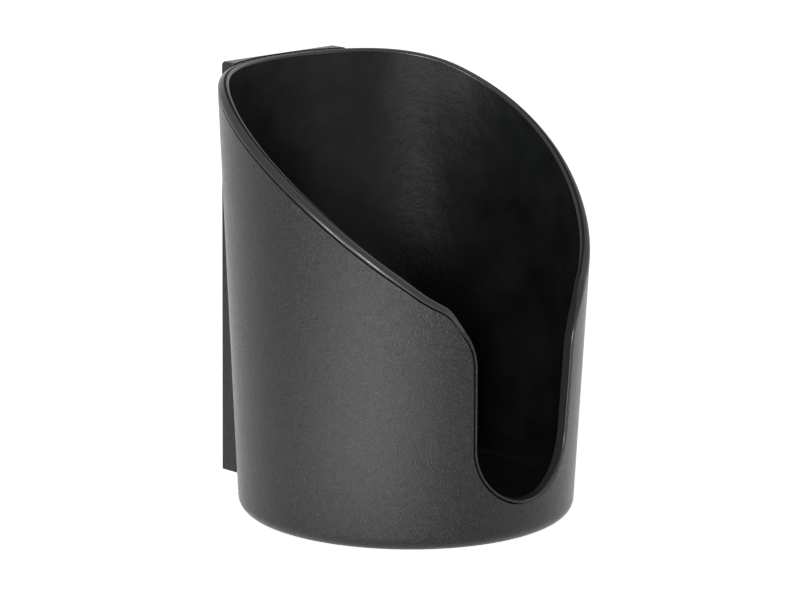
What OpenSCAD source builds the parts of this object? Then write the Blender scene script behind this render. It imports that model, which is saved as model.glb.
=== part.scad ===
/* [Cup] */
// Radius of the outer wall at the underside
base_r = 41.6; // [38:0.1:46]
// Outward slope of the wall, in degrees
wall_draft = 2.75; // [1.5:0.05:3.5]
// Thickness of the wall
wall_t = 2.8; // [2.2:0.1:3.5]
// Thickness of the floor
floor_t = 4.8; // [3:0.1:6]
// Rounding of the outer edge at the underside
base_edge_r = 3.5; // [1:0.1:4]
// Rounding inside, between the floor and the wall
floor_corner_r = 2.5; // [1:0.1:4]

/* [Rim] */
// Height of the rim at the back, where it is level
back_h = 108.2; // [100:0.1:120]
// Distance behind the cup's axis at which the rim starts to fall
level_y = 43.5; // [40:0.1:45]
// Radius of the curve, seen from the side, that takes the rim down from the level part
back_curve_r = 50.8; // [45:0.2:58]
// Slope of the rim, in degrees, where that curve passes into the long side curve
side_slope = 24.6; // [22:0.1:27]
// Radius of the long side curve, seen from the side
side_curve_r = 198; // [180:1:240]
// Part of the rim's way round, in degrees, over which its top turns level across the wall
rim_turn = 15; // [12:1:30]

/* [Handle slot] */
// Width of the slot in the front
slot_w = 30.4; // [28:0.1:34]
// Outward slope of the slot's two sides, in degrees, so that it widens upward
slot_draft = 2.5; // [0.5:0.1:3]
// Height of the slot's round bottom above the underside
slot_bottom = 10.4; // [8.5:0.1:14]
// Radius of the lower curve of each shoulder
shoulder_low_r = 20; // [16:0.5:26]
// Turn of the lower curve, in degrees
shoulder_low_turn = 29; // [24:0.1:32]
// Length of the straight stretch between the shoulder's two curves
shoulder_straight = 5.6; // [3:0.1:7]
// Radius of the upper curve of each shoulder, where it runs into the rim
shoulder_top_r = 7.3; // [6:0.1:10]
// Turn of the upper curve, in degrees
shoulder_top_turn = 28.7; // [27:0.1:33]

/* [Mounting pad] */
// Width of the flat pad on the back
pad_w = 38.6; // [34:0.1:46]
// Height of the pad's lower end above the underside
pad_bottom = 3.7; // [3.5:0.1:12]
// How far the pad's top stands above the rim
pad_above = 0.1; // [0.1:0.1:1]
// How far the pad's back stands out behind the rim
pad_proud = 0.05; // [0.05:0.05:2]
// Rounding of the pad's two top corners
pad_corner_r = 1; // [0.5:0.5:6]
// Thickness of the pad's back and side webs
pad_web = 2.5; // [2:0.1:3.5]
// Half width of the solid middle of the pad, between its two pockets
pad_middle = 7; // [4:0.5:9]
// Solid length of the pad above its pockets
pad_cap = 12; // [6:1:30]

/* [Hidden] */
$fn = 96;
// how far cutting shapes run past the surfaces that they cut
past = 4;
// the pad reaches this far into the wall that carries it
root = 0.4;
top = back_h + 3 * past;
slot_r = slot_w / 2;
slot_middle = slot_bottom + slot_r;

function outer_r(z) = base_r + z * tan(wall_draft);

// Height of the rim's outer edge, seen from the side, at a distance y behind the axis
side_y = level_y - back_curve_r * sin(side_slope);
side_z = back_h - back_curve_r * (1 - cos(side_slope));
function rim_z(y) =
    y > level_y ? back_h
    : y > side_y ? back_h - back_curve_r * (1 - cos(asin((level_y - y) / back_curve_r)))
    : side_z - side_curve_r * (cos(side_slope) - cos(asin(sin(side_slope) + (side_y - y) / side_curve_r)));

// The rim follows the sloping wall, so its height and the wall's radius are settled in turn
function rim_at(angle, z = 80, steps = 6) =
    steps == 0 ? z : rim_at(angle, rim_z(-outer_r(z) * cos(angle)), steps - 1);
function rim_at_shoulder(z = 60, steps = 8) = let (x = slot_x(z - shoulder_rise) + shoulder_run)
    steps == 0 ? z : rim_at_shoulder(rim_z(-sqrt(pow(outer_r(z), 2) - x * x)), steps - 1);

// Half width of the slot at a height between its round bottom and the shoulders
function slot_x(z) = slot_r / cos(slot_draft) + (z - slot_middle) * tan(slot_draft);

// Shoulder, seen from the front: lower curve, straight stretch, upper curve
full_turn = shoulder_low_turn + shoulder_top_turn;
low_reach = shoulder_low_r * tan((shoulder_low_turn - slot_draft) / 2);
top_reach = shoulder_top_r * tan(shoulder_top_turn / 2);
low_step = low_reach + shoulder_straight + top_reach;
shoulder_run = low_reach * sin(slot_draft) + low_step * sin(shoulder_low_turn) + top_reach * sin(full_turn);
shoulder_rise = low_reach * cos(slot_draft) + low_step * cos(shoulder_low_turn) + top_reach * cos(full_turn);
shoulder_z = rim_at_shoulder();
shoulder_from = shoulder_z - shoulder_rise;
shoulder_x = slot_x(shoulder_from) + shoulder_run;
low_centre = [slot_x(shoulder_from), shoulder_from] + shoulder_low_r * [cos(slot_draft), -sin(slot_draft)];
top_start = low_centre + shoulder_low_r * [-cos(shoulder_low_turn), sin(shoulder_low_turn)]
    + shoulder_straight * [sin(shoulder_low_turn), cos(shoulder_low_turn)];
top_centre = top_start + shoulder_top_r * [cos(shoulder_low_turn), -sin(shoulder_low_turn)];
function bend(centre, r, from, to, steps = 7) =
    [for (i = [0 : steps]) let (turn = from + (to - from) * i / steps) centre + r * [-cos(turn), sin(turn)]];

pad_top = back_h + pad_above;
pad_back = outer_r(back_h) + pad_proud;

// Solid turned body whose wall leans out by the draft, with a rounded lower edge
module drafted_body(r, from, to, edge_r) {
    // centre of the edge circle, which touches both the underside and the wall
    edge_x = r + (from + edge_r) * tan(wall_draft) - edge_r / cos(wall_draft);
    rotate_extrude() {
        polygon([
            [0, from],
            [edge_x, from],
            [edge_x + edge_r * cos(wall_draft), from + edge_r * (1 - sin(wall_draft))],
            [r + to * tan(wall_draft), to],
            [0, to]
        ]);
        intersection() {
            translate([edge_x, from + edge_r]) circle(edge_r);
            translate([edge_x - edge_r / 2, from - edge_r]) square([2 * edge_r, 3 * edge_r]);
        }
    }
}

// Space inside the cup, open at the top
module cup_space() {
    drafted_body(base_r - wall_t / cos(wall_draft), floor_t, top, floor_corner_r);
}

// Everything above the rim, from one shoulder round the back to the other.
// Its underside is ruled: along the cup's front-to-back line at the shoulders,
// and along the cup's radius from rim_turn degrees further round.
module above_rim() {
    start = asin(shoulder_x / outer_r(shoulder_z));
    steps = 38;
    side = [for (i = [0 : steps]) start + (180 - start) * i / steps];
    angles = concat(side, [for (i = [steps - 1 : -1 : 0]) 360 - side[i]]);
    function ease(t) = t < 0 ? 0 : t > 1 ? 1 : t * t * (3 - 2 * t);
    function heading(angle) =
        angle > 180 ? 360 - heading(360 - angle) : angle * ease((angle - start) / rim_turn);
    function ring_point(angle, z, out, high) =
        [outer_r(z) * sin(angle) + out * sin(heading(angle)),
         -outer_r(z) * cos(angle) - out * cos(heading(angle)),
         high];
    inner = wall_t + past;
    function section(a, shift = 0) = let (z = rim_at(a)) [
        for (p = [[-inner, z], [past, z], [past, top], [-inner, top]])
            ring_point(a, z, p[0], p[1]) + [shift, 0, 0]
    ];
    // both ends run on level into the opening of the slot
    points = concat(
        section(start, -past / 4),
        [for (a = angles) each section(a)],
        section(360 - start, past / 4)
    );
    last = len(points) - 4;
    faces = concat(
        [[3, 2, 1, 0], [last, last + 1, last + 2, last + 3]],
        [for (i = [0 : 4 : last - 4], k = [0 : 3]) let (n = (k + 1) % 4)
            each [[i + k, i + n, i + 4 + k], [i + n, i + 4 + n, i + 4 + k]]]
    );
    polyhedron(points, faces);
}

// Slot for a mug's handle, right through the front wall, with a shoulder on each side
module handle_slot() {
    side = concat(
        [[slot_r * cos(slot_draft), slot_middle - slot_r * sin(slot_draft)]],
        bend(low_centre, shoulder_low_r, slot_draft, shoulder_low_turn),
        bend(top_centre, shoulder_top_r, shoulder_low_turn, full_turn),
        [[shoulder_x, top]]
    );
    other = [for (i = [len(side) - 1 : -1 : 0]) [-side[i][0], side[i][1]]];
    translate([0, -wall_t - past, 0]) rotate([90, 0, 0])
        linear_extrude(outer_r(top)) {
            translate([0, slot_middle]) circle(slot_r);
            polygon(concat(side, other));
        }
}

// Outline of the pad, seen from behind
module pad_outline() {
    half = pad_w / 2;
    translate([-half, pad_bottom]) square([pad_w, pad_top - pad_bottom - pad_corner_r]);
    translate([pad_corner_r - half, pad_bottom]) square([pad_w - 2 * pad_corner_r, pad_top - pad_bottom]);
    for (side = [-1, 1])
        translate([side * (half - pad_corner_r), pad_top - pad_corner_r]) circle(pad_corner_r);
}

// Flat pad that stands on the back of the cup, open below into two pockets
module mounting_pad() {
    difference() {
        translate([0, pad_back, 0]) rotate([90, 0, 0]) linear_extrude(pad_back / 2) pad_outline();
        drafted_body(base_r - root, 0, top, base_edge_r);
        for (side = [0, 1])
            mirror([side, 0, 0])
                difference() {
                    translate([pad_middle, 0, pad_bottom - past])
                        cube([pad_w / 2 - pad_web - pad_middle, pad_back - pad_web, pad_top - pad_cap - pad_bottom + past]);
                    drafted_body(base_r, 0, top, base_edge_r);
                }
    }
}

module cup_holder() {
    color([0.07, 0.07, 0.075]) {
        difference() {
            drafted_body(base_r, 0, top - past, base_edge_r);
            cup_space();
            above_rim();
            handle_slot();
        }
        mounting_pad();
    }
}

cup_holder();
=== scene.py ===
import math

import bmesh
import bpy
import numpy as np
from mathutils import Matrix, Vector
from mathutils.geometry import delaunay_2d_cdt


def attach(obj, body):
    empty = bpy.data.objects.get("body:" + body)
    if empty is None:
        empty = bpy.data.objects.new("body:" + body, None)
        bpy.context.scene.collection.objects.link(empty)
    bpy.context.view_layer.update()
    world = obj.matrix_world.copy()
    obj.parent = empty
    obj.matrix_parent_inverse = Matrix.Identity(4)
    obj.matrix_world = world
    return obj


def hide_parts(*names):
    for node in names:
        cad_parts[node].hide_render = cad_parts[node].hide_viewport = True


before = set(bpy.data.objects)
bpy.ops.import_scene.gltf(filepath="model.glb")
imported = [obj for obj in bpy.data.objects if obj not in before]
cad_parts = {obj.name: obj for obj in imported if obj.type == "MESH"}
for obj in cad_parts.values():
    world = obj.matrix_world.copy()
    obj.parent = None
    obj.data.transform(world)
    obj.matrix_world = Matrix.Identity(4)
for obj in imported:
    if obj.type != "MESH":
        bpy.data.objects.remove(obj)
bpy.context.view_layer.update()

MM = 0.001

# Sizes of the holder in millimetres, as in the part's source
BASE_R = 41.6
DRAFT = math.radians(2.75)
WALL = 2.8
FLOOR = 4.8
BACK_H = 108.2
EDGE_R = 3.5
CORNER_R = 2.5
LEVEL_Y = 43.5
BACK_CURVE = 50.8
SIDE_SLOPE = math.radians(24.6)
SIDE_CURVE = 198.0
RIM_TURN = math.radians(15)
SLOT_R = 15.2
SLOT_DRAFT = math.radians(2.5)
SLOT_BOTTOM = 10.4
LOW_R = 20.0
LOW_TURN = math.radians(29)
STRAIGHT = 5.6
TOP_R = 7.3
TOP_TURN = math.radians(28.7)
PAD_HALF = 19.3
PAD_BOTTOM = 3.7
PAD_TOP = BACK_H + 0.1
PAD_PROUD = 0.05
PAD_CORNER = 1.0
PAD_WEB = 2.5
PAD_MIDDLE = 7.0
PAD_CAP = 12.0

# Roundings that only the looks have, and the heights between which the slot's grow into the rim's
RIM_OUT_R = 1.4
RIM_IN_R = 0.7
SLOT_OUT_R = 0.45
SLOT_IN_R = 0.4
PAD_EDGE_R = 0.35
SLOT_EDGE_Z = 50
RIM_EDGE_Z = 64

# Fine groove under the outer rounding, whose sides and floor carry painted shade: its shares right and left
# of the slot, and the width between
LINE_WIDTH = 0.4
LINE_DEPTH = 0.25
LINE_GAP = 0.08
LINE_RIGHT = 0.5
LINE_LEFT = 0.12
LINE_CHANGE = 10

# Left of this x and below this share of the rim, the wall's texture covers the edge's rounding
PLAIN_X = -1
PLAIN_SHARE = 0.35

# Fineness of the mesh, in millimetres and in parts of a curve
EDGE_STEP = 0.7
RIM_MEAN_Z = 80
RIM_STRETCH = 1.2
WALL_STEP = 2.0
BACK_STEP = 3.0
FRONT_STEP = 1.5
CLEAR_OF_EDGE = 1.2
INNER_STRIP = 0.5
SIDE_PARTS = 27
STRAIGHT_PARTS = 7
OUT_PARTS = 7
IN_PARTS = 5
TOP_ROWS = (0.04, 0.5, 0.96)
FLOOR_RINGS = (0.97, 0.66, 0.33)
FLOOR_EDGE_PARTS = 8
HALF_TURN_PARTS = 120
SMOOTHING = 3
POINTS_PER_MM = 20000

# Looks, by their place in the mesh's list of materials
TEXTURED = 0
SMOOTH = 1
RIM = 2
TOP = 3
# Groove look: painted shade, a near-black colour without reflection that stands in for the shade in the fine
# groove
PAINTED_SHADE_GROOVE = 4

SLOPE = math.tan(DRAFT)
SLOT_MIDDLE = SLOT_BOTTOM + SLOT_R


def outer_r(z):
    return BASE_R + z * SLOPE


def inner_r(z):
    return outer_r(z) - WALL / math.cos(DRAFT)


PAD_BACK = outer_r(BACK_H) + PAD_PROUD


# Edge of the slot and the rim
def rim_z(y):
    """Rim's height seen from the side, y behind the axis."""
    side_y = LEVEL_Y - BACK_CURVE * math.sin(SIDE_SLOPE)
    side_z = BACK_H - BACK_CURVE * (1 - math.cos(SIDE_SLOPE))
    if y > LEVEL_Y:
        return BACK_H
    if y > side_y:
        return BACK_H - BACK_CURVE * (1 - math.cos(math.asin((LEVEL_Y - y) / BACK_CURVE)))
    lean = math.asin(math.sin(SIDE_SLOPE) + (side_y - y) / SIDE_CURVE)
    return side_z - SIDE_CURVE * (math.cos(SIDE_SLOPE) - math.cos(lean))


def rim_at(angle, guess=RIM_MEAN_Z, turns=8):
    """Rim's height at an angle. It and the radius of the sloping wall are settled in turn."""
    z = guess
    for _ in range(turns):
        z = rim_z(-outer_r(z) * math.cos(angle))
    return z


def slot_x(z):
    """Half width of the slot between its round bottom and the shoulders."""
    return SLOT_R / math.cos(SLOT_DRAFT) + (z - SLOT_MIDDLE) * math.tan(SLOT_DRAFT)


def shoulder_end(across, rise, guess=60.0, turns=10):
    """Where a shoulder that runs this far across and up ends on the rim."""
    z = guess
    for _ in range(turns):
        x = slot_x(z - rise) + across
        z = rim_z(-math.sqrt(outer_r(z) ** 2 - x**2))
    return x, z


def arc(centre, r, start, end):
    count = max(2, math.ceil(r * abs(end - start) / EDGE_STEP))
    turns = [start + (end - start) * i / count for i in range(count + 1)]
    return [(centre[0] - r * math.cos(t), centre[1] + r * math.sin(t)) for t in turns]


def between(a, b, count):
    """Points on the straight line from a to b, without its ends."""
    parts = [i / count for i in range(1, count)]
    return [(a[0] + (b[0] - a[0]) * t, a[1] + (b[1] - a[1]) * t) for t in parts]


def eased(t):
    return t * t * (3 - 2 * t)


def slot_edge():
    """Slot's edge seen from the front, from the middle of its bottom up the right side to the rim."""
    full_turn = LOW_TURN + TOP_TURN
    low_reach = LOW_R * math.tan((LOW_TURN - SLOT_DRAFT) / 2)
    top_reach = TOP_R * math.tan(TOP_TURN / 2)
    step = low_reach + STRAIGHT + top_reach
    across = low_reach * math.sin(SLOT_DRAFT) + step * math.sin(LOW_TURN) + top_reach * math.sin(full_turn)
    rise = low_reach * math.cos(SLOT_DRAFT) + step * math.cos(LOW_TURN) + top_reach * math.cos(full_turn)
    end_x, end_z = shoulder_end(across, rise)
    low_z = end_z - rise
    side_end = (slot_x(low_z), low_z)
    flat = arc((0, SLOT_MIDDLE), SLOT_R, -math.pi / 2, -math.pi + SLOT_DRAFT)
    flat += between(flat[-1], side_end, SIDE_PARTS)
    low_centre = (side_end[0] + LOW_R * math.cos(SLOT_DRAFT), low_z - LOW_R * math.sin(SLOT_DRAFT))
    flat += arc(low_centre, LOW_R, SLOT_DRAFT, LOW_TURN)
    low_end = flat[-1]
    top_start = (low_end[0] + STRAIGHT * math.sin(LOW_TURN), low_end[1] + STRAIGHT * math.cos(LOW_TURN))
    flat += between(low_end, top_start, STRAIGHT_PARTS)
    top_centre = (top_start[0] + TOP_R * math.cos(LOW_TURN), top_start[1] - TOP_R * math.sin(LOW_TURN))
    flat += arc(top_centre, TOP_R, LOW_TURN, full_turn)
    return flat[:-1], end_x, end_z


def half_edge():
    """Edge on the outer wall, from the middle of the slot's bottom round the right side to the middle
    of the back: each point with the heading of the wall's level top there."""
    flat, end_x, end_z = slot_edge()
    points = [((x, -math.sqrt(outer_r(z) ** 2 - x * x), z), 0.0) for x, z in flat]
    first = math.asin(end_x / outer_r(end_z))
    rim_length = outer_r(RIM_MEAN_Z) * (math.pi - first) * RIM_STRETCH
    count = math.ceil(rim_length / EDGE_STEP)
    for i in range(count + 1):
        angle = first + (math.pi - first) * i / count
        z = rim_at(angle)
        heading = angle * eased(min(1.0, (angle - first) / RIM_TURN))
        points.append(((outer_r(z) * math.sin(angle), -outer_r(z) * math.cos(angle), z), heading))
    return points


def unit(v):
    return v / np.linalg.norm(v, axis=-1, keepdims=True)


def along(points):
    return unit(np.roll(points, -1, axis=0) - np.roll(points, 1, axis=0))


def wall_normal(points):
    flat = unit(points[:, :2])
    return np.concatenate([flat * math.cos(DRAFT), np.full((len(points), 1), -math.sin(DRAFT))], axis=1)


def smooth(v, passes):
    for _ in range(passes):
        v = (np.roll(v, 1, axis=0) + 2 * v + np.roll(v, -1, axis=0)) / 4
    return v


def to_wall(points, radius):
    flat = unit(points[:, :2]) * radius(points[:, 2])[:, None]
    return np.concatenate([flat, points[:, 2:]], axis=1)


def rounding(corner, side_a, side_b, r, parts):
    """Rows of an arc that rounds a corner from the side_a face to the side_b face, and its reach."""
    half_angle = np.arccos(np.clip((side_a * side_b).sum(axis=1, keepdims=True), -1, 1)) / 2
    reach = r / np.tan(half_angle)
    centre = corner + unit(side_a + side_b) * r / np.sin(half_angle)
    start = corner + side_a * reach - centre
    end = corner + side_b * reach - centre
    axis = unit(np.cross(start, end))
    sweep = math.pi - 2 * half_angle
    arc_rows = []
    for i in range(parts + 1):
        t = i / parts
        arm = (np.sin((1 - t) * sweep) * start + np.sin(t * sweep) * end) / np.sin(sweep)
        arc_rows.append((centre + arm, unit(np.cross(axis, arm))))
    return arc_rows, reach


# Both edges of the wall's level top, all the way round
half = half_edge()
outer_edge = np.array([p for p, h in half] + [(-p[0], p[1], p[2]) for p, h in half[-2:0:-1]])
headings = np.array([h for p, h in half] + [-h for p, h in half[-2:0:-1]])
inward = np.stack([-np.sin(headings), np.cos(headings), np.zeros(len(headings))], axis=1)
outward = -(outer_edge[:, :2] * inward[:, :2]).sum(axis=1)
off_axis = (outer_edge[:, :2] ** 2).sum(axis=1) - outward**2
top_width = outward - np.sqrt(inner_r(outer_edge[:, 2]) ** 2 - off_axis)
inner_edge = outer_edge + inward * top_width[:, None]

outer_normal = wall_normal(outer_edge)
inner_normal = wall_normal(inner_edge)
outer_down = unit(np.cross(smooth(along(outer_edge), SMOOTHING), outer_normal))
inner_down = unit(np.cross(smooth(along(inner_edge), SMOOTHING), inner_normal))
top_way = unit(inner_edge - outer_edge)

# Roundings, which grow from the slot to the rim
rim_share = eased(np.clip((outer_edge[:, 2] - SLOT_EDGE_Z) / (RIM_EDGE_Z - SLOT_EDGE_Z), 0, 1))
rim_share = smooth(rim_share, 2 * SMOOTHING)[:, None]
out_r = SLOT_OUT_R + (RIM_OUT_R - SLOT_OUT_R) * rim_share
in_r = SLOT_IN_R + (RIM_IN_R - SLOT_IN_R) * rim_share
outer_rows, outer_reach = rounding(outer_edge, outer_down, top_way, out_r, OUT_PARTS)
inner_rows, inner_reach = rounding(inner_edge, -top_way, inner_down, in_r, IN_PARTS)

# Fine groove, whole on the rim and weaker along the slot, with painted shade on its sides and floor: its
# rows as way down and depth
right_side = np.clip(outer_edge[:, :1] / LINE_CHANGE + 0.5, 0, 1)
line_share = LINE_LEFT + (1 - LINE_LEFT) * np.maximum(rim_share, LINE_RIGHT * right_side)
line_profile = [
    (1.0, 0),
    (LINE_WIDTH + LINE_GAP, 0),
    (LINE_WIDTH, 0),
    (LINE_WIDTH - LINE_GAP, 1),
    (LINE_GAP, 1),
    (0, 0),
]

# Rows of points with their way across, from the outer wall over the top to the inner wall
rows = []
for down, depth in line_profile:
    p = to_wall(outer_edge + outer_down * (outer_reach + LINE_GAP + down * line_share), outer_r)
    rows.append((p - outer_normal * LINE_DEPTH * depth * line_share, None))
rows += outer_rows
top_start = outer_rows[-1][0]
top_end = inner_rows[0][0]
for t in TOP_ROWS:
    rows.append((top_start + (top_end - top_start) * t, top_way))
rows += inner_rows
rows.append((to_wall(inner_edge + inner_down * (inner_reach + INNER_STRIP), inner_r), inner_down))
outer_bands = len(line_profile) + OUT_PARTS
# The groove's sides and floor take the painted shade look
bands = [TEXTURED] * 2 + [PAINTED_SHADE_GROOVE] * 3 + [RIM] * (OUT_PARTS + 1)
bands += [TOP] * (len(TOP_ROWS) + 1) + [RIM] * IN_PARTS + [SMOOTH]

strip = np.array([p for p, way in rows])
ways = []
for k, (p, way) in enumerate(rows):
    if way is None:
        way = unit(strip[min(k + 1, len(rows) - 1)] - strip[max(k - 1, 0)])
    ways.append(way)
run = np.roll(strip, -1, axis=1) - np.roll(strip, 1, axis=1)
strip_normals = unit(np.cross(np.array(ways), unit(run)))
if (strip_normals[0] * outer_normal).sum() < 0:
    strip_normals = -strip_normals
strip_normals[0] = wall_normal(strip[0])
strip_normals[1] = wall_normal(strip[1])
strip_normals[-1] = -wall_normal(strip[-1])


class Skin:
    """Vertices joined where they meet, with one normal each unless a face brings its own."""

    def __init__(self):
        self.points = []
        self.normals = []
        self.known = {}
        self.faces = []
        self.corner_normals = []
        self.looks = []

    def vertex(self, point, normal):
        key = tuple(round(float(v) * POINTS_PER_MM) for v in point)
        if key not in self.known:
            self.known[key] = len(self.points)
            self.points.append([float(v) for v in point])
            self.normals.append([float(v) for v in normal])
        return self.known[key]

    def face(self, corners, look, normals=None):
        kept = []
        kept_normals = []
        for i, corner in enumerate(corners):
            if corner not in kept:
                kept.append(corner)
                kept_normals.append(normals[i] if normals else self.normals[corner])
        if len(kept) > 2:
            self.faces.append(kept)
            self.corner_normals += kept_normals
            self.looks.append(look)


skin = Skin()

# Rim and slot's edge, swept round
stations = strip.shape[1]
ring = [[skin.vertex(strip[k, s], strip_normals[k, s]) for s in range(stations)] for k in range(len(rows))]
plain_edge = (rim_share[:, 0] < PLAIN_SHARE) & (outer_edge[:, 0] < PLAIN_X)
for k, look in enumerate(bands):
    for s in range(stations):
        n = (s + 1) % stations
        plain = k < outer_bands and plain_edge[s]
        skin.face([ring[k][s], ring[k][n], ring[k + 1][n], ring[k + 1][s]], TEXTURED if plain else look)


# Wall, outside and inside
def wall_border(edge, bottom):
    """Border of half a wall, laid out flat as distance round and height."""
    half_round = math.pi * BASE_R
    low = [(half_round * i / HALF_TURN_PARTS, bottom) for i in range(HALF_TURN_PARTS + 1)]
    path = [(math.atan2(p[0], -p[1]) * BASE_R, p[2]) for p in edge]
    front = (0.0, path[0][1])
    back = (half_round, path[-1][1])
    path[0] = front
    path[-1] = back
    right = between((half_round, bottom), back, int((back[1] - bottom) / BACK_STEP))
    left = between(front, (0.0, bottom), max(2, int((front[1] - bottom) / FRONT_STEP)))
    return low + right + path[::-1] + left


def filling(border):
    """Evenly spaced points inside a border, clear of its corners."""
    corners = np.array(border)
    after = np.roll(corners, -1, axis=0)
    bottom = corners[:, 1].min()
    rows_up = int((corners[:, 1].max() - bottom) / WALL_STEP) + 1
    found = []
    for j in range(1, rows_up):
        z = bottom + WALL_STEP * j
        crossing = (corners[:, 1] > z) != (after[:, 1] > z)
        span = np.where(crossing, after[:, 1] - corners[:, 1], 1)
        at = corners[:, 0] + (z - corners[:, 1]) / span * (after[:, 0] - corners[:, 0])
        for i in range(1, int(math.pi * BASE_R / WALL_STEP)):
            u = WALL_STEP * (i + 0.5 * (j % 2))
            within = (crossing & (at > u)).sum() % 2 == 1
            if within and np.hypot(corners[:, 0] - u, corners[:, 1] - z).min() > CLEAR_OF_EDGE:
                found.append((u, z))
    return found


def wall(edge, bottom, radius, outside, look, inside_only=1, same_point=1e-7):
    """Wall from its lower edge up to the swept strip, as even triangles on both sides."""
    border = wall_border(edge, bottom)
    flat = [Vector(v) for v in border + filling(border)]
    made = delaunay_2d_cdt(flat, [], [list(range(len(border)))], inside_only, same_point)
    sign = 1 if outside else -1
    for side in (1, -1):
        index = []
        for u, z in made[0]:
            s, c = side * math.sin(u / BASE_R), -math.cos(u / BASE_R)
            normal = (sign * s * math.cos(DRAFT), sign * c * math.cos(DRAFT), -sign * math.sin(DRAFT))
            index.append(skin.vertex((radius(z) * s, radius(z) * c, z), normal))
        for triangle in made[2]:
            corners = [index[i] for i in triangle]
            skin.face(corners if side == sign else corners[::-1], look)


def top_of_rounding(level, r):
    return level + r * (1 - math.sin(DRAFT))


wall(strip[0][: len(half)], top_of_rounding(0, EDGE_R), outer_r, True, TEXTURED)
wall(strip[-1][: len(half)], top_of_rounding(FLOOR, CORNER_R), inner_r, False, SMOOTH)


# Underside and floor
def turned(r, level, rounding_r, outside, look):
    """Turned floor: rounding from the wall down to a level face, below or inside."""
    x = r + (level + rounding_r) * SLOPE - rounding_r / math.cos(DRAFT)
    middle_z = level + rounding_r
    profile = []
    for i in range(FLOOR_EDGE_PARTS + 1):
        a = -DRAFT + (DRAFT - math.pi / 2) * i / FLOOR_EDGE_PARTS
        c, s = math.cos(a), math.sin(a)
        profile.append((x + rounding_r * c, middle_z + rounding_r * s, c, s))
    profile += [(x * share, level, 0.0, -1.0) for share in FLOOR_RINGS]
    sign = 1 if outside else -1
    count = 2 * HALF_TURN_PARTS
    turns = [math.pi * i / HALF_TURN_PARTS for i in range(count)]
    rings = []
    for pr, pz, nr, nz in profile:
        ring_now = []
        for s, c in [(math.sin(a), -math.cos(a)) for a in turns]:
            ring_now.append(skin.vertex((pr * s, pr * c, pz), (sign * nr * s, sign * nr * c, sign * nz)))
        rings.append(ring_now)
    middle = skin.vertex((0, 0, level), (0, 0, -sign))
    faces = []
    for upper, lower in zip(rings, rings[1:]):
        faces += [[upper[i - 1], lower[i - 1], lower[i], upper[i]] for i in range(count)]
    faces += [[rings[-1][i - 1], middle, rings[-1][i]] for i in range(count)]
    for corners in faces:
        skin.face(corners if outside else corners[::-1], look)


turned(BASE_R, 0.0, EDGE_R, True, TEXTURED)
turned(BASE_R - WALL / math.cos(DRAFT), FLOOR, CORNER_R, False, SMOOTH)


# Mounting pad
def pad_front(x, z, sunk):
    """Where the pad's front lies, sunk a little into the cup's wall."""
    return math.sqrt((outer_r(z) - sunk) ** 2 - x * x)


def prism(solid, low, high):
    """Closed solid between two outlines with as many points."""
    a = [solid.verts.new(p) for p in low]
    b = [solid.verts.new(p) for p in high]
    solid.faces.new(a[::-1])
    solid.faces.new(b)
    for i in range(len(a)):
        n = (i + 1) % len(a)
        solid.faces.new([a[i], a[n], b[n], b[i]])


def add_webs(solid, split_z, sunk=1.2):
    """Lower pad: back plate, two side webs and a solid middle, with a pocket on each side of it."""
    inner_half = PAD_HALF - PAD_WEB
    inner_back = PAD_BACK - PAD_WEB
    shape = [(-PAD_HALF, None), (-PAD_HALF, PAD_BACK), (PAD_HALF, PAD_BACK), (PAD_HALF, None)]
    shape += [(inner_half, None), (inner_half, inner_back), (PAD_MIDDLE, inner_back), (PAD_MIDDLE, None)]
    shape += [(-x, y) for x, y in shape[:3:-1]]
    levels = []
    for z in (PAD_BOTTOM, split_z):
        levels.append([(x, pad_front(x, z, sunk) if y is None else y, z) for x, y in shape[::-1]])
    prism(solid, levels[0], levels[1])


def add_cap(solid, split_z, sunk=0.08, corner_parts=8, half_parts=12, levels=4):
    """Cap of the pad, which follows the cup's wall in front and has rounded upper corners."""
    corner_x = PAD_HALF - PAD_CORNER
    corner_z = PAD_TOP - PAD_CORNER
    columns = [(PAD_HALF, corner_z)]
    for i in range(1, corner_parts + 1):
        t = math.pi / 2 * i / corner_parts
        columns.append((corner_x + PAD_CORNER * math.cos(t), corner_z + PAD_CORNER * math.sin(t)))
    columns += [(corner_x - corner_x * i / half_parts, PAD_TOP) for i in range(1, half_parts)]
    columns += [(0.0, PAD_TOP)] + [(-x, z) for x, z in columns[::-1]]
    places = [[(x, split_z + (z - split_z) * k / levels) for k in range(levels + 1)] for x, z in columns]
    front = [[solid.verts.new((x, pad_front(x, z, sunk), z)) for x, z in column] for column in places]
    last = len(columns) - 1
    border = [(j, 0) for j in range(last)] + [(last, k) for k in range(levels)]
    border += [(j, levels) for j in range(last, 0, -1)] + [(0, k) for k in range(levels, 0, -1)]
    back = {(j, k): solid.verts.new((places[j][k][0], PAD_BACK, places[j][k][1])) for j, k in border}
    solid.faces.new([back[at] for at in border])
    for j in range(last):
        for k in range(levels):
            solid.faces.new([front[j][k], front[j + 1][k], front[j + 1][k + 1], front[j][k + 1]])
    for i, at in enumerate(border):
        to = border[(i + 1) % len(border)]
        solid.faces.new([back[at], back[to], front[to[0]][to[1]], front[at[0]][at[1]]])


SHARP = math.radians(40)


def outer_pad_edge(e, split_z, near=0.1):
    """True for a sharp edge that shows on the finished part, which is rounded."""
    if len(e.link_faces) != 2 or e.calc_face_angle() < SHARP:
        return False
    middle = (e.verts[0].co + e.verts[1].co) / 2
    at_back = middle.y > PAD_BACK - near
    if middle.z < PAD_BOTTOM + near:
        return at_back or abs(middle.x) > PAD_HALF - near
    return at_back and abs(middle.z - split_z) > near


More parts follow.
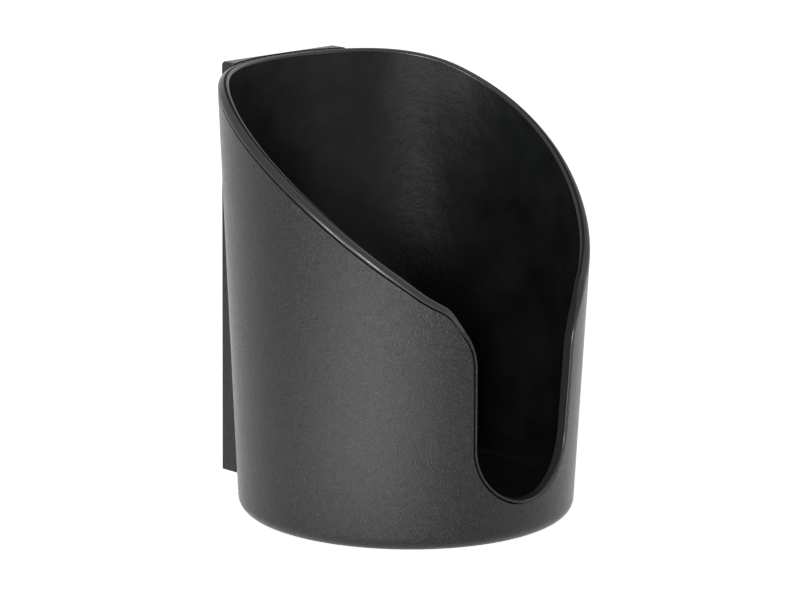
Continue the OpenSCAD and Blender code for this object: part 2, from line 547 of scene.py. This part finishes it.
def add_to_skin(solid, flat_area=8, flat_corners=8):
    """Adds the solid's faces, flat where they are large and smooth across the roundings between."""
    large = {f: f.calc_area() > flat_area or len(f.verts) > flat_corners for f in solid.faces}
    for f in solid.faces:
        corners = []
        normals = []
        for v in f.verts:
            corners.append(len(skin.points))
            skin.points.append([v.co.x, v.co.y, v.co.z])
            skin.normals.append(list(v.normal))
            total = Vector((0, 0, 0))
            for g in v.link_faces:
                if g.normal.angle(f.normal, 0) < SHARP:
                    total += g.normal * g.calc_area()
            normals.append(list(f.normal if large[f] else total.normalized()))
        skin.face(corners, TEXTURED, normals)


pad = bmesh.new()
cap_z = PAD_TOP - PAD_CAP
add_webs(pad, cap_z)
add_cap(pad, cap_z)
bmesh.ops.recalc_face_normals(pad, faces=pad.faces)
sharp = [e for e in pad.edges if outer_pad_edge(e, cap_z)]
bmesh.ops.bevel(
    pad, geom=sharp, offset=PAD_EDGE_R, segments=3, profile=0.5, affect="EDGES", clamp_overlap=True
)
pad.normal_update()
add_to_skin(pad)
pad.free()

mesh = bpy.data.meshes.new("holder")
mesh.from_pydata([[v * MM for v in p] for p in skin.points], [], skin.faces)
mesh.polygons.foreach_set("material_index", skin.looks)
mesh.polygons.foreach_set("use_smooth", [True] * len(skin.faces))
mesh.normals_split_custom_set(skin.corner_normals)
mesh.validate()
holder = bpy.data.objects.new("holder", mesh)
bpy.context.scene.collection.objects.link(holder)


# Materials
def material(name, specular, colour=(0, 0, 0), roughness=0.5):
    m = bpy.data.materials.new(name)
    m.use_nodes = True
    shader = m.node_tree.nodes["Principled BSDF"]
    shader.inputs["Base Color"].default_value = (*colour, 1)
    shader.inputs["Roughness"].default_value = roughness
    shader.inputs["Specular IOR Level"].default_value = specular
    return m, m.node_tree, shader


def noise(tree, scale, detail, roughness=0.5):
    """Noise fixed to the object, its scale in waves per metre."""
    place = tree.nodes.new("ShaderNodeTexCoord")
    node = tree.nodes.new("ShaderNodeTexNoise")
    node.inputs["Scale"].default_value = scale
    node.inputs["Detail"].default_value = detail
    node.inputs["Roughness"].default_value = roughness
    tree.links.new(place.outputs["Object"], node.inputs["Vector"])
    return node.outputs["Fac"]


def bump(tree, height, shader, strength, distance):
    node = tree.nodes.new("ShaderNodeBump")
    node.inputs["Strength"].default_value = strength
    node.inputs["Distance"].default_value = distance
    tree.links.new(height, node.inputs["Height"])
    tree.links.new(node.outputs["Normal"], shader.inputs["Normal"])


def spread(tree, value, low, high, to_low=0.0, to_high=1.0):
    """Value held between low and high and laid out from to_low to to_high."""
    node = tree.nodes.new("ShaderNodeMapRange")
    node.inputs["From Min"].default_value = low
    node.inputs["From Max"].default_value = high
    node.inputs["To Min"].default_value = to_low
    node.inputs["To Max"].default_value = to_high
    tree.links.new(value, node.inputs["Value"])
    return node.outputs["Result"]


def colour_between(tree, share, shader, dark, light):
    node = tree.nodes.new("ShaderNodeMix")
    node.data_type = "RGBA"
    node.inputs["A"].default_value = (*dark, 1)
    node.inputs["B"].default_value = (*light, 1)
    tree.links.new(share, node.inputs["Factor"])
    tree.links.new(node.outputs["Result"], shader.inputs["Base Color"])


# Outer wall: fine moulded grain with lighter tips and a gloss that varies
grain, tree, shader = material("textured black plastic", specular=0.27)
fine = noise(tree, scale=3900, detail=0.0)
bump(tree, fine, shader, strength=1.0, distance=0.00015)
tips = spread(tree, fine, 0.45, 0.75)
colour_between(tree, tips, shader, dark=(0.0025, 0.0028, 0.0025), light=(0.026, 0.028, 0.027))
gloss = spread(tree, noise(tree, scale=4300, detail=1.0), 0.35, 0.65, 0.18, 0.34)
tree.links.new(gloss, shader.inputs["Roughness"])

# Inside: smoother, with soft patches
inside, tree, shader = material("smooth black plastic", specular=0.11, roughness=0.36)
bump(tree, noise(tree, scale=60, detail=8.0, roughness=0.72), shader, strength=0.5, distance=0.0008)
patches = spread(tree, noise(tree, scale=95, detail=6.0), 0.35, 0.7)
colour_between(tree, patches, shader, dark=(0.006, 0.0072, 0.0062), light=(0.013, 0.0142, 0.0132))

# Rim: polished roundings, a dull level top, and painted shade in the groove under the outer rounding: a
# near-black colour without reflection that stands in for the shade there
polished = material("polished black plastic", 0.5, (0.006, 0.006, 0.006), 0.26)[0]
dull = material("dull black plastic", 0.02, (0.02, 0.02, 0.02), 0.5)[0]
groove_painted_shade = material("painted shade in groove", 0.0, (0.003, 0.003, 0.003), 0.8)[0]

for m in (grain, inside, polished, dull, groove_painted_shade):
    mesh.materials.append(m)

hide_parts("cup_holder")
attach(holder, "root")

# Camera: its turn to the left, its height and its roll, worked out from the holder's outline
TURN = math.radians(44.507)
RISE = math.radians(12.961)
ROLL = math.radians(0.518)
AIM_Z = 52
DISTANCE = 999.0
LENS = 182.43
SHIFT_X = -7.63
SHIFT_Y = 2.34
IMAGE_WIDTH = 800

side_way = Vector((math.cos(TURN), -math.sin(TURN), 0))
near_way = Vector((-math.sin(TURN), -math.cos(TURN), 0))
away = near_way * math.cos(RISE) + Vector((0, 0, math.sin(RISE)))
up_way = away.cross(side_way)
right = side_way * math.cos(ROLL) + up_way * math.sin(ROLL)
upper = up_way * math.cos(ROLL) - side_way * math.sin(ROLL)
spot = (Vector((0, 0, AIM_Z)) + away * DISTANCE) * MM
lens = bpy.data.cameras.new("camera")
lens.sensor_width = 36
lens.lens = LENS
lens.shift_x = SHIFT_X / IMAGE_WIDTH
lens.shift_y = SHIFT_Y / IMAGE_WIDTH
lens.clip_start = 0.01
lens.clip_end = 50
camera = bpy.data.objects.new("camera", lens)
bpy.context.scene.collection.objects.link(camera)
camera.matrix_world = Matrix((
    (right.x, upper.x, away.x, spot.x),
    (right.y, upper.y, away.y, spot.y),
    (right.z, upper.z, away.z, spot.z),
    (0, 0, 0, 1),
))
bpy.context.scene.camera = camera


def seen_rays(tree):
    """1 for rays that show the surroundings: from the camera, in a reflection or through glass."""
    path = tree.nodes.new("ShaderNodeLightPath")
    total = path.outputs["Is Camera Ray"]
    for name in ("Is Glossy Ray", "Is Transmission Ray"):
        either = tree.nodes.new("ShaderNodeMath")
        either.operation = "MAXIMUM"
        tree.links.new(total, either.inputs[0])
        tree.links.new(path.outputs[name], either.inputs[1])
        total = either.outputs[0]
    return total


# Floor, in metres, which glows where it is seen or mirrored
FLOOR_HALF = 3
FLOOR_GLOW = 0.85
floor_corners = [(x * FLOOR_HALF, y * FLOOR_HALF, 0) for x, y in ((-1, -1), (1, -1), (1, 1), (-1, 1))]
floor_mesh = bpy.data.meshes.new("floor")
floor_mesh.from_pydata(floor_corners, [], [(0, 1, 2, 3)])
floor = bpy.data.objects.new("floor", floor_mesh)
bpy.context.scene.collection.objects.link(floor)
white, tree, shader = material("white paper", 0.0, (0.92, 0.92, 0.92), 0.9)
shader.inputs["Emission Color"].default_value = (1, 1, 1, 1)
glow = tree.nodes.new("ShaderNodeMath")
glow.operation = "MULTIPLY"
glow.inputs[1].default_value = FLOOR_GLOW
tree.links.new(seen_rays(tree), glow.inputs[0])
tree.links.new(glow.outputs[0], shader.inputs["Emission Strength"])
floor_mesh.materials.append(white)

# Lamps, in metres and watts
HOLDER_MIDDLE = Vector((0, 0, 0.055))


def place_lamp(name, data, at):
    lit = bpy.data.objects.new(name, data)
    bpy.context.scene.collection.objects.link(lit)
    lit.location = at
    return lit


def lamp(name, turn, rise, distance, width, height, power):
    """Panel aimed at the holder, by its turn to the right of the camera and its rise, in degrees."""
    data = bpy.data.lights.new(name, "AREA")
    data.shape = "RECTANGLE"
    data.size = width
    data.size_y = height
    data.energy = power
    a = math.radians(turn) - TURN
    e = math.radians(rise)
    way = Vector((math.sin(a) * math.cos(e), -math.cos(a) * math.cos(e), math.sin(e)))
    lit = place_lamp(name, data, HOLDER_MIDDLE + way * distance)
    lit.rotation_euler = (-way).to_track_quat("-Z", "Y").to_euler()
    return lit


def pool(name, to_right, nearer, height, width, power):
    """Pool of light on the paper from straight above, placed as the camera sees it, its width in degrees."""
    data = bpy.data.lights.new(name, "SPOT")
    data.energy = power
    data.spot_size = math.radians(width)
    data.spot_blend = 1.0
    data.shadow_soft_size = 0.03
    return place_lamp(name, data, side_way * to_right + near_way * nearer + Vector((0, 0, height)))


# The wall mirrors the pool in front of the holder as its bright band
lamps = [
    lamp("soft light on the left", -33, 3, distance=1.3, width=0.2, height=0.4, power=7.5),
    lamp("small light by the camera", -5, 8, distance=1.0, width=0.16, height=0.16, power=4.5),
    lamp("weak light on the right", 60, 8, distance=1.2, width=0.4, height=0.3, power=0.8),
    pool("pool on the paper", to_right=-0.053, nearer=0.13, height=0.4, width=27, power=36),
]

# World: dim as a light, white where it is seen or mirrored
ROOM_LIGHT = 0.3
world = bpy.data.worlds.new("world")
bpy.context.scene.world = world
world.use_nodes = True
tree = world.node_tree
tree.nodes.clear()
out = tree.nodes.new("ShaderNodeOutputWorld")
mix = tree.nodes.new("ShaderNodeMixShader")
tree.links.new(seen_rays(tree), mix.inputs[0])
for socket, strength in ((1, ROOM_LIGHT), (2, 1.0)):
    background = tree.nodes.new("ShaderNodeBackground")
    background.inputs["Color"].default_value = (1, 1, 1, 1)
    background.inputs["Strength"].default_value = strength
    tree.links.new(background.outputs[0], mix.inputs[socket])
tree.links.new(mix.outputs[0], out.inputs["Surface"])

bpy.context.scene.view_settings.view_transform = "Standard"
